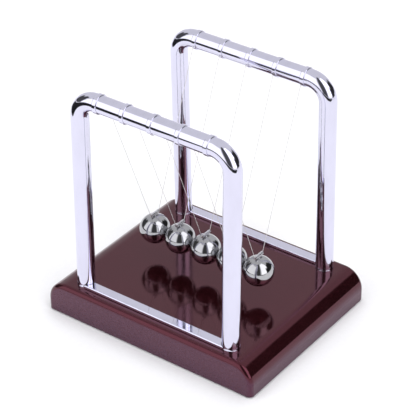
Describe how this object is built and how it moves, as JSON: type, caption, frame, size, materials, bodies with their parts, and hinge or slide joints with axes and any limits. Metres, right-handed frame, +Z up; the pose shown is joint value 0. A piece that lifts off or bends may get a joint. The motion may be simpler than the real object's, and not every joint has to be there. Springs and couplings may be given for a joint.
{
  "type": "newtons cradle",
  "caption": "Desk toy: a row of steel balls hung by nylon threads from chromed tube hoops on a moulded base; end balls swing out and click back.",
  "frame": {"origin": "on the table under the middle of the base, level with the undersides of the rubber feet", "axes": "+X along the row of balls, +Y from the front hoop to the back hoop, +Z up"},
  "size_m": [0.174, 0.138, 0.1799],
  "materials": {
    "base_plastic": "glossy dark burgundy moulding with a faint orange peel",
    "cover_plastic": "fine spark-eroded texture, satin",
    "foot_rubber": "matt rubber",
    "chrome": "bright chrome plate",
    "ball_steel": "mirror polished steel with faint handling marks",
    "eyelet_steel": "drawn steel tube, dull at the weld",
    "nylon": "clear nylon line",
    "screw_steel": "zinc plated steel",
    "plug_plastic": "moulded black nylon"
  },
  "bodies": {
    "stand": {"base_shell": "base_plastic", "base_cover": "cover_plastic", "rubber_foot_front_left": "foot_rubber", "rubber_foot_front_right": "foot_rubber", "rubber_foot_back_left": "foot_rubber", "rubber_foot_back_right": "foot_rubber", "cover_screws": "screw_steel", "frame_screws": "screw_steel", "column_plugs": "plug_plastic", "front_frame": "chrome", "back_frame": "chrome", "column_collar_front_left": "chrome", "column_collar_front_right": "chrome", "column_collar_back_left": "chrome", "column_collar_back_right": "chrome", "front_foot_rail": "chrome", "back_foot_rail": "chrome", "front_thread_rings": "chrome", "back_thread_rings": "chrome", "front_thread_knots": "nylon", "back_thread_knots": "nylon"},
    "swing_1": {"ball_1": "ball_steel", "eyelet_1": "eyelet_steel", "thread_1": "nylon"},
    "swing_2": {"ball_2": "ball_steel", "eyelet_2": "eyelet_steel", "thread_2": "nylon"},
    "swing_3": {"ball_3": "ball_steel", "eyelet_3": "eyelet_steel", "thread_3": "nylon"},
    "swing_4": {"ball_4": "ball_steel", "eyelet_4": "eyelet_steel", "thread_4": "nylon"},
    "swing_5": {"ball_5": "ball_steel", "eyelet_5": "eyelet_steel", "thread_5": "nylon"}
  },
  "joints": [
    {"name": "ball_1_swing", "type": "hinge", "parent": "stand", "child": "swing_1", "pos_m": [-0.0444, 0, 0.17108], "axis": [0, -1, 0], "range_deg": [-60, 0]},
    {"name": "ball_2_swing", "type": "hinge", "parent": "stand", "child": "swing_2", "pos_m": [-0.0222, 0, 0.17108], "axis": [0, -1, 0], "range_deg": [-0.04, 0.04]},
    {"name": "ball_3_swing", "type": "hinge", "parent": "stand", "child": "swing_3", "pos_m": [0, 0, 0.17108], "axis": [0, -1, 0], "range_deg": [-0.04, 0.04]},
    {"name": "ball_4_swing", "type": "hinge", "parent": "stand", "child": "swing_4", "pos_m": [0.0222, 0, 0.17108], "axis": [0, -1, 0], "range_deg": [-0.04, 0.04]},
    {"name": "ball_5_swing", "type": "hinge", "parent": "stand", "child": "swing_5", "pos_m": [0.0444, 0, 0.17108], "axis": [0, -1, 0], "range_deg": [0, 60]}
  ]
}
